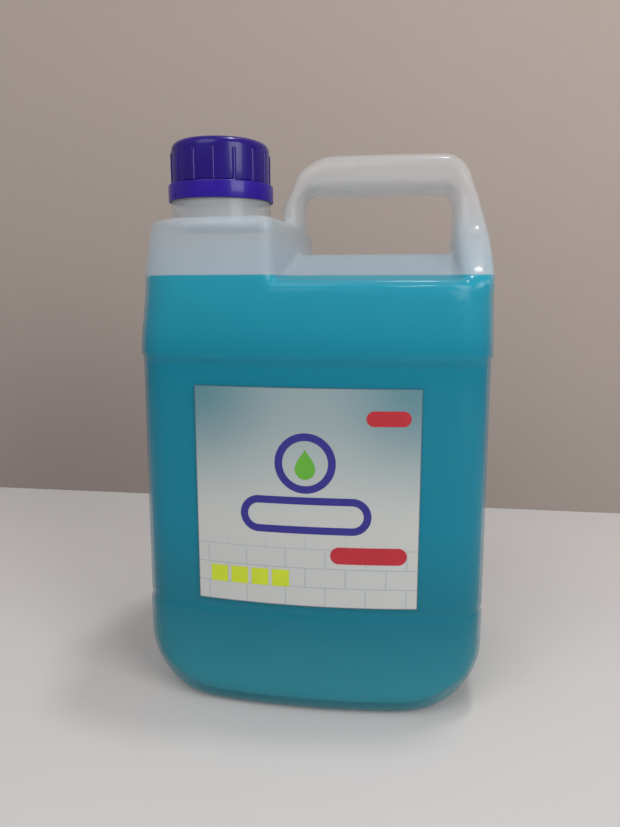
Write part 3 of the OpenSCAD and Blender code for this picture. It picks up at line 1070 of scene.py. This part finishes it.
class BOTTLE_OT_stick_label(bpy.types.Operator):
    """Model the front label"""

    bl_idname = "bottle.stick_label"
    bl_label = "Stick Label"

    def execute(self, context):
        scene = context.scene
        sizes = scene.label_sizes
        sheet = bmesh.new()
        for vert in bmesh.ops.create_grid(sheet, x_segments=1, y_segments=1, size=1)["verts"]:
            x, z = vert.co.x, vert.co.y
            vert.co = (x * LABEL_HIGH.x, 0, LABEL_HIGH.z if z > 0 else LABEL_LOW.z)
        laid_on_panel(sheet, scene, sizes.gap, sizes.gap + sizes.film)
        piece = finished_piece(sheet, "front_label", "container", label_film(scene.bottle_colours), 30)
        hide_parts("label")
        return {"FINISHED"}


class BOTTLE_OT_print_label(bpy.types.Operator):
    """Print plain fields of colour on the label"""

    bl_idname = "bottle.print_label"
    bl_label = "Print Label"

    def execute(self, context):
        scene = context.scene
        sizes = scene.label_sizes
        foot = LABEL_LOW.z
        fields = {name: bmesh.new() for name in ("blue", "green", "red", "yellow")}
        blue = fields["blue"]
        hollowed(blue, disc(blue, 0, foot + sizes.ring_up, sizes.ring_r, 96), sizes.line_w)
        hollowed(blue, bar(blue, 0, foot + sizes.plate_up, sizes.plate_w, sizes.plate_h, 64), sizes.line_w)
        drop(fields["green"], 0, foot + sizes.drop_up, sizes.drop_r)
        for across, up, width, height in BARS:
            bar(fields["red"], across, foot + up, width, height)
        for i in range(sizes.tiles):
            self.set_tile(fields["yellow"], sizes, sizes.tile_x + sizes.tile_step * i, foot + sizes.tile_up)
        for name, field in fields.items():
            self.print_field(scene, field, name)
        return {"FINISHED"}

    def set_tile(self, bm, sizes, x, z):
        """A flat square tile."""
        verts = bmesh.ops.create_grid(bm, x_segments=1, y_segments=1, size=sizes.tile / 2)["verts"]
        for vert in verts:
            vert.co = (x + vert.co.x, 0, z + vert.co.y)

    def print_field(self, scene, bm, shade_name):
        """One colour of the print, laid on the label."""
        sizes = scene.label_sizes
        face = sizes.gap + sizes.film
        laid_on_panel(bm, scene, face, face + sizes.ink)
        shade = getattr(scene.bottle_colours, "ink_" + shade_name)
        finish = ink("ink_" + shade_name, shade)
        piece = finished_piece(bm, "label_print_" + shade_name, "container", finish, 30)
        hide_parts("print_" + shade_name)


class BOTTLE_OT_mould_cap(bpy.types.Operator):
    """Model the ribbed screw cap"""

    bl_idname = "bottle.mould_cap"
    bl_label = "Mould Cap"

    def execute(self, context):
        scene = context.scene
        sizes, neck = scene.cap_sizes, scene.neck_sizes
        foot, top = CAP_LOW.z, CAP_HIGH.z
        dish_z, roof_z = top - sizes.dish, top - sizes.roof
        inner = sizes.skirt_r - sizes.wall
        rim = sizes.skirt_r - sizes.edge_r - sizes.dish_rim
        fine = sizes.fine_r
        shell = bmesh.new()
        turned(
            shell,
            [
                (0, dish_z, 0),
                (rim - sizes.dish_slope, dish_z, 2 * fine),
                (rim, top, fine),
                (sizes.skirt_r, top, 0.9 * sizes.edge_r),
                (sizes.skirt_r, foot, fine),
                (inner, foot, fine),
                (inner, roof_z, sizes.roof_r),
                (0, roof_z, 0),
            ],
        )
        ribs = bmesh.new()
        height = top - sizes.edge_r - sizes.rib_stop - foot
        for i in range(sizes.ribs):
            rib = bmesh.ops.create_cone(
                ribs,
                cap_ends=True,
                segments=20,
                radius1=sizes.rib_r,
                radius2=sizes.rib_r,
                depth=height,
            )["verts"]
            turn = math.tau * (i + 0.5) / sizes.ribs
            reach = sizes.skirt_r + sizes.rib_out - sizes.rib_r
            place = Vector((NECK_X + reach * math.cos(turn), reach * math.sin(turn), foot + height / 2))
            bmesh.ops.translate(ribs, verts=rib, vec=place)
        rims = [edge for edge in ribs.edges if all(v.co.z > foot + height / 2 for v in edge.verts)]
        bmesh.ops.bevel(
            ribs, geom=rims, offset=0.7 * sizes.rib_r, segments=4, profile=0.5, affect="EDGES", material=-1
        )
        screw = bmesh.new()
        crest = inner - neck.thread_depth
        start = BAND_HIGH.z + neck.pitch / 2 + sizes.thread_gap
        thread(screw, inner, crest, sizes.thread_w, start, sizes.thread_turns, neck.pitch)
        plastic = glossy_plastic("cap_plastic", scene.bottle_colours.cap)
        piece = finished_piece(joined(shell, ribs, screw), "screw_cap", "closure", plastic)
        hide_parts("cap")
        return {"FINISHED"}


class BOTTLE_OT_mould_ring(bpy.types.Operator):
    """Model the tamper ring below the cap"""

    bl_idname = "bottle.mould_ring"
    bl_label = "Mould Ring"

    def execute(self, context):
        scene = context.scene
        sizes, neck = scene.cap_sizes, scene.neck_sizes
        foot, top = BAND_LOW.z, BAND_HIGH.z
        lip_z, lip_x = top - sizes.ring_lip, neck.bead_r - sizes.ring_hold
        inner = sizes.ring_r - sizes.ring_wall
        ring = bmesh.new()
        turned(
            ring,
            [
                (inner, foot, sizes.lip_r),
                (sizes.ring_r, foot, sizes.fine_r),
                (sizes.ring_r, top, 2 * sizes.fine_r),
                (lip_x, top, sizes.lip_r),
                (lip_x, lip_z, sizes.lip_r),
                (inner, lip_z, sizes.fine_r),
            ],
        )
        plastic = glossy_plastic("ring_plastic", scene.bottle_colours.ring)
        piece = finished_piece(ring, "tamper_ring", "container", plastic)
        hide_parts("tamper_band")
        return {"FINISHED"}


class BOTTLE_OT_cut_liner(bpy.types.Operator):
    """Give the sealing disc its foam finish"""

    bl_idname = "bottle.cut_liner"
    bl_label = "Cut Liner"

    def execute(self, context):
        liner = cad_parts["cap_liner"]
        liner.data.materials.clear()
        liner.data.materials.append(foam_liner(context.scene.bottle_colours))
        return {"FINISHED"}


class BOTTLE_OT_set_stage(bpy.types.Operator):
    """Set the table, the wall, the lamps and the camera"""

    bl_idname = "bottle.set_stage"
    bl_label = "Set Stage"

    def execute(self, context):
        settings = context.scene.stage_settings
        self.lay_table(settings)
        self.raise_wall(settings)
        for lamp in LAMPS:
            self.hang_lamp(*lamp)
        self.set_world(context.scene)
        self.place_camera(context.scene, settings)
        return {"FINISHED"}

    def lay_table(self, settings):
        """A pale cloth-covered table."""
        bm = bmesh.new()
        bmesh.ops.create_grid(bm, x_segments=1, y_segments=1, size=ROOM_REACH)
        for vert in bm.verts:
            vert.co.z = -TABLE_GAP
        finish = Finish("table_cloth", IOR=1.4)
        where, _ = finish.place()
        cloth = finish.mix(finish.noise(where, 6), scaled(settings.table, 0.94), settings.table)
        finish.feed("Base Color", cloth)
        finish.gloss(finish.noise(where, 30), 0.7, 0.85)
        finished_piece(bm, "table", None, finish.material)

    def raise_wall(self, settings):
        """A plain wall that is seen from its front only, with painted light that makes it lighter towards
        its top and right.
        """
        bm = bmesh.new()
        for vert in bmesh.ops.create_grid(bm, x_segments=1, y_segments=1, size=ROOM_REACH)["verts"]:
            vert.co = (vert.co.x, settings.wall_y, ROOM_REACH + vert.co.y)
        bmesh.ops.recalc_face_normals(bm, faces=bm.faces[:])
        bm.normal_update()
        for face in bm.faces:
            if face.normal.y > 0:
                face.normal_flip()
        finish = Finish("wall_paint", IOR=1.4)
        where, place = finish.place()
        # Painted light: the wall's colour brightens towards its top and right and dims low down and to the
        # left.
        dim_x, bright_x, bright_z = -320 * MM, 210 * MM, 380 * MM
        across = finish.spread(place[0], dim_x, bright_x, 0, 0.3)
        up = finish.spread(place[2], 0, bright_z, 0, 0.6)
        light = finish.sum("ADD", across, up)
        finish.feed("Base Color", finish.mix(light, settings.backdrop_dim, settings.backdrop))
        finish.gloss(finish.noise(where, 30), 0.8, 0.9)
        clear = finish.node("BsdfTransparent").outputs[0]
        behind = finish.node("NewGeometry").outputs["Backfacing"]
        shown = finish.node("MixShader", {0: behind, 1: finish.shader.outputs[0], 2: clear}).outputs[0]
        finish.tree.links.new(shown, finish.tree.nodes["Material Output"].inputs["Surface"])
        finished_piece(bm, "back_wall", None, finish.material)

    def hang_lamp(self, name, place, target, side, power):
        """A soft square lamp turned to a target."""
        lamp = bpy.data.lights.new(name, "AREA")
        lamp.shape = "SQUARE"
        lamp.size, lamp.energy = side, power
        holder = bpy.data.objects.new(name, lamp)
        holder.location = place
        holder.rotation_euler = (Vector(target) - Vector(place)).to_track_quat("-Z", "Y").to_euler()
        bpy.context.scene.collection.objects.link(holder)

    def set_world(self, scene):
        """An even pale sky."""
        world = bpy.data.worlds.new("room")
        world.use_nodes = True
        background = world.node_tree.nodes["Background"]
        background.inputs["Color"].default_value = SKY_COLOUR
        background.inputs["Strength"].default_value = SKY_STRENGTH
        scene.world = world

    def place_camera(self, scene, settings):
        """The camera at the viewing angle, with a plain lens."""
        camera = bpy.data.objects.new("camera", bpy.data.cameras.new("camera"))
        camera.data.lens = settings.lens
        camera.data.clip_start = 0.01
        camera.location = settings.camera_place
        camera.rotation_euler = (math.pi / 2 - settings.camera_dip, 0, settings.camera_turn)
        scene.collection.objects.link(camera)
        scene.camera = camera
        scene.view_settings.view_transform = "Standard"


class BOTTLE_PT_panel(bpy.types.Panel):
    """Lists the pieces and their sizes"""

    bl_idname = "BOTTLE_PT_panel"
    bl_label = "Floor Cleaner Bottle"
    bl_space_type = "VIEW_3D"
    bl_region_type = "UI"
    bl_category = "Bottle"

    def draw(self, context):
        for operator in OPERATORS:
            self.layout.operator(operator.bl_idname)
        for group in GROUPS:
            box = self.layout.box()
            settings = getattr(context.scene, group)
            for name in settings.bl_rna.properties.keys():
                if name not in ("rna_type", "name"):
                    box.prop(settings, name)


GROUPS = {
    "body_sizes": BodySizes,
    "block_sizes": BlockSizes,
    "handle_sizes": HandleSizes,
    "neck_sizes": NeckSizes,
    "cap_sizes": CapSizes,
    "label_sizes": LabelSizes,
    "bottle_colours": BottleColours,
    "stage_settings": StageSettings,
}
OPERATORS = (
    BOTTLE_OT_blow_bottle,
    BOTTLE_OT_fill_liquid,
    BOTTLE_OT_stick_label,
    BOTTLE_OT_print_label,
    BOTTLE_OT_mould_cap,
    BOTTLE_OT_mould_ring,
    BOTTLE_OT_cut_liner,
    BOTTLE_OT_set_stage,
)


def register():
    """Registers the settings, the operators and the panel."""
    for name, group in GROUPS.items():
        bpy.utils.register_class(group)
        setattr(bpy.types.Scene, name, bpy.props.PointerProperty(type=group))
    for operator in (*OPERATORS, BOTTLE_PT_panel):
        bpy.utils.register_class(operator)


def unregister():
    """Takes the panel, the operators and the settings out again."""
    for operator in (BOTTLE_PT_panel, *reversed(OPERATORS)):
        bpy.utils.unregister_class(operator)
    for name, group in reversed(GROUPS.items()):
        delattr(bpy.types.Scene, name)
        bpy.utils.unregister_class(group)


def main():
    """Builds every piece."""
    register()
    bpy.ops.bottle.blow_bottle()
    bpy.ops.bottle.fill_liquid()
    bpy.ops.bottle.stick_label()
    bpy.ops.bottle.print_label()
    bpy.ops.bottle.mould_cap()
    bpy.ops.bottle.mould_ring()
    bpy.ops.bottle.cut_liner()
    bpy.ops.bottle.set_stage()
    bpy.context.view_layer.update()


if __name__ == "__main__":
    main()
